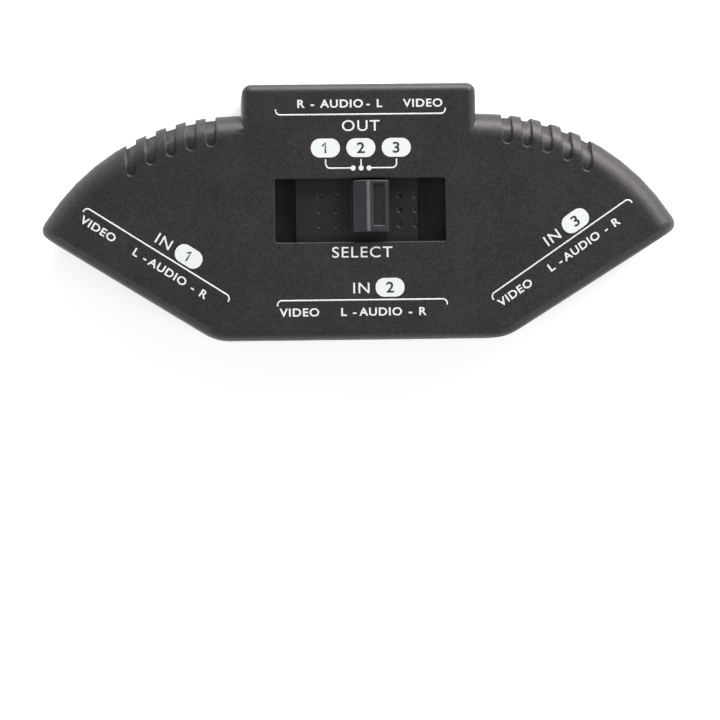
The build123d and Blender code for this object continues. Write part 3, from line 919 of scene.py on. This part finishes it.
bracket = [
    (-bracket_half, -bracket_drop),
    (-bracket_half, 0),
    (bracket_half, 0),
    (bracket_half, -bracket_drop),
]
field_y = -8.15
lead_gap = 2.75  # from the middle of a field to the line under it
lead_top_y = field_y - lead_gap
lead_low_y = -13.1
field_pitch = 8.65
dot_x = 1.95
lines = [[on_face(place, x, y, ink / 2) for x, y in bracket] for place in input_legends.values()]
lines.append([on_face(output_legend, x, -y, ink / 2) for x, y in bracket])
for side in (-1, 1):
    lead = [
        (side * field_pitch, lead_top_y),
        (side * field_pitch, lead_low_y),
        (side * (dot_x + dot_size / 2), lead_low_y),
    ]
    lines.append([on_face(output_legend, x, y, ink / 2) for x, y in lead])
lines.append([on_face(output_legend, 0, y, ink / 2) for y in (lead_top_y, lead_low_y + dot_size / 2)])

line_tree, sizes = new_tree(
    "printed_lines", Width="Float", Ink="Float", Corner="Float", Material="Material"
)
paths = add(line_tree, "GeometryNodeMeshToCurve", {"Mesh": sizes["Geometry"]})
rounded = add(
    line_tree,
    "GeometryNodeFilletCurve",
    {"Curve": paths.outputs[0], "Radius": sizes["Corner"]},
    {"Count": corner_steps, "Limit Radius": True},
    mode="POLY",
)
upright = add(line_tree, "GeometryNodeSetCurveNormal", {"Curve": rounded.outputs[0]}, mode="Z_UP")
section = add(
    line_tree,
    "GeometryNodeCurvePrimitiveQuadrilateral",
    {"Width": sizes["Width"], "Height": sizes["Ink"]},
)
strips = add(
    line_tree,
    "GeometryNodeCurveToMesh",
    {"Curve": upright.outputs[0], "Profile Curve": section.outputs[0]},
    {"Fill Caps": True},
)
end_tree(line_tree, strips.outputs[0], sizes["Material"])


def drawn(name, lines, width, corner, material, slot):
    """Printed lines as one piece. Each is a row of points, and its corners are rounded."""
    points, edges = [], []
    for line in lines:
        edges += [(len(points) + step, len(points) + step + 1) for step in range(len(line) - 1)]
        points += line
    mesh = grown(
        marks(f"{name}_marks", points, edges),
        line_tree,
        Width=width * mm,
        Ink=ink * mm,
        Corner=corner * mm,
        Material=material,
    )
    finished(name, mesh, material, "case", slot)


drawn("legend_lines", lines, line_width, corner_radius, white_ink, "white_plastic")

field_tree, sizes = new_tree(
    "printed_fields", Width="Float", Height="Float", Corner="Float", Ink="Float", Material="Material"
)
outline = add(
    field_tree,
    "GeometryNodeCurvePrimitiveQuadrilateral",
    {"Width": sizes["Width"], "Height": sizes["Height"]},
)
rounded = add(
    field_tree,
    "GeometryNodeFilletCurve",
    {"Curve": outline.outputs[0], "Radius": sizes["Corner"]},
    {"Count": field_corner_steps, "Limit Radius": True},
    mode="POLY",
)
under = add(field_tree, "GeometryNodeFillCurve", {"Curve": rounded.outputs[0]}, mode="NGONS")
raised = add(
    field_tree,
    "GeometryNodeExtrudeMesh",
    {"Mesh": under.outputs[0], "Offset Scale": sizes["Ink"]},
    {"Individual": False},
)
turned_under = add(field_tree, "GeometryNodeFlipFaces", {"Mesh": under.outputs[0]})
joined = add(field_tree, "GeometryNodeJoinGeometry", {"Geometry": raised.outputs[0]})
field_tree.links.new(turned_under.outputs[0], joined.inputs[0])
closed = add(
    field_tree,
    "GeometryNodeMergeByDistance",
    {"Geometry": joined.outputs[0]},
    {"Distance": merge_distance},
)
facing_along = add(
    field_tree, "GeometryNodeInputNamedAttribute", values={"Name": "along"}, data_type="FLOAT_VECTOR"
)
laid = add(
    field_tree,
    "FunctionNodeAxesToRotation",
    {"Secondary Axis": facing_along.outputs[0]},
    {"Primary Axis": (0, 0, 1)},
    primary_axis="Z",
    secondary_axis="X",
)
copies = add(
    field_tree,
    "GeometryNodeInstanceOnPoints",
    {"Points": sizes["Geometry"], "Instance": closed.outputs[0], "Rotation": laid.outputs[0]},
)
end_tree(field_tree, copies.outputs[0], sizes["Material"])

field_x, field_rise = 6.8, 3.0  # middle of a number's field beside an input's word
fields = {
    (number, "input"): (place, field_x, field_rise) for number, place in input_legends.items()
}
for number, side in (("1", -1), ("2", 0), ("3", 1)):
    fields[number, "output"] = (output_legend, side * field_pitch, field_y)
dots = [(output_legend, x, lead_low_y) for x in (-dot_x, 0, dot_x)]

for name, spots, width, height, corner in (
    ("legend_fields", list(fields.values()), *field_size, field_corner),
    ("legend_dots", dots, dot_size, dot_size, dot_size / 2),
):
    spot_mesh = grown(
        marks(
            f"{name}_marks",
            [on_face(*spot) for spot in spots],
            along=[spot[0].to_3x3() @ Vector((1, 0, 0)) for spot in spots],
        ),
        field_tree,
        Width=width * mm,
        Height=height * mm,
        Corner=corner * mm,
        Ink=ink * mm,
        Material=white_ink,
    )
    finished(name, spot_mesh, white_ink, "case", "white_plastic")

# %% [markdown]
# The words are plain function words and numbers. The built-in typeface is close to the lettering that
# such boxes carry, apart from its numeral 1, a bare stroke, which is drawn with a flag instead. Each
# word is sized by its capital height, moved to its place and joined with the others.

# %% Words and numbers
large_cap = 2.55  # capital heights and places in millimetres
small_cap = 1.85
number_cap = 2.5
word_y = 2.9
channel_y = -2.9
output_word_y = -2.75
output_channel_y = 2.65
select_y = -33.6
large_weight = 0.004  # how much a stroke is thickened, in a letter of size 1
small_weight = 0.022
number_weight = 0.016
letter_gap = 1.12
letter_stretch = 1.12
half_depth = 0.5  # of a word's solid, before it is pressed to the thickness of the ink
one_flag = 0.75  # of the numeral 1: how far its flag reaches to the left, and how far down
one_width = 0.45


def letters(text, weight):
    """A word as a flat solid of letter size 1, lying in the ground plane about its middle."""
    curve = bpy.data.curves.new("word", "FONT")
    curve.body = text
    curve.align_x = "CENTER"
    curve.space_character = letter_gap
    curve.offset = weight
    curve.extrude = half_depth
    return settled(in_scene("word", curve))


probe = letters("H", 0)
cap_heights = [vertex.co.y for vertex in probe.vertices]
cap_share = max(cap_heights) - min(cap_heights)
bpy.data.meshes.remove(probe)


def lettering(name, words, material, slot, lift):
    """One piece from many words: text, capital height, weight, legend place, x and y."""
    shape = bmesh.new()
    for text, cap, weight, place, x, y in words:
        mesh = letters(text, weight)
        size = cap / cap_share * mm
        fit = Matrix.Diagonal((size * letter_stretch, size, ink * mm, 1))
        middle = Matrix.Translation((x * mm, (y - cap / 2) * mm, (ink / 2 + lift) * mm))
        mesh.transform(place @ middle @ fit)
        shape.from_mesh(mesh)
        bpy.data.meshes.remove(mesh)
    mesh = bpy.data.meshes.new(name)
    shape.to_mesh(mesh)
    shape.free()
    finished(name, mesh, material, "case", slot)


input_word_x = -0.2
channel_words = [  # text and place along the legend
    ("VIDEO", -15.3), ("L", -4.6), ("-", -1.9), ("AUDIO", 4.5), ("R", 14.6), ("-", 11.7),
]
words = []
for place in input_legends.values():
    words.append(("IN", large_cap, large_weight, place, input_word_x, word_y))
    words += [(text, small_cap, small_weight, place, x, channel_y) for text, x in channel_words]
words.append(("OUT", large_cap, large_weight, output_legend, 0, output_word_y))
words += [
    (text, small_cap, small_weight, output_legend, -x, output_channel_y) for text, x in channel_words
]
words.append(("SELECT", large_cap, large_weight, output_legend, 0, select_y))
lettering("legend_words", words, white_ink, "white_plastic", 0)

numbers = [
    (number, number_cap, number_weight, *spot) for (number, _), spot in fields.items() if number != "1"
]
lettering("legend_numbers", numbers, bare_abs, "case_plastic", ink)

half_cap = number_cap / 2
one_stroke = [(-one_flag, half_cap - one_flag), (0, half_cap), (0, -half_cap)]
ones = []
for (number, _), (place, x, y) in fields.items():
    if number == "1":
        ones.append([on_face(place, x + along, y + up, on_ink) for along, up in one_stroke])
drawn("legend_ones", ones, one_width, 0, bare_abs, "case_plastic")

# %% [markdown]
# ## Colour
#
# The view transform is Standard, so a colour comes out as it was written. Nothing here may make the
# object larger than its construction.

# %% Finish
bpy.context.scene.view_settings.view_transform = "Standard"
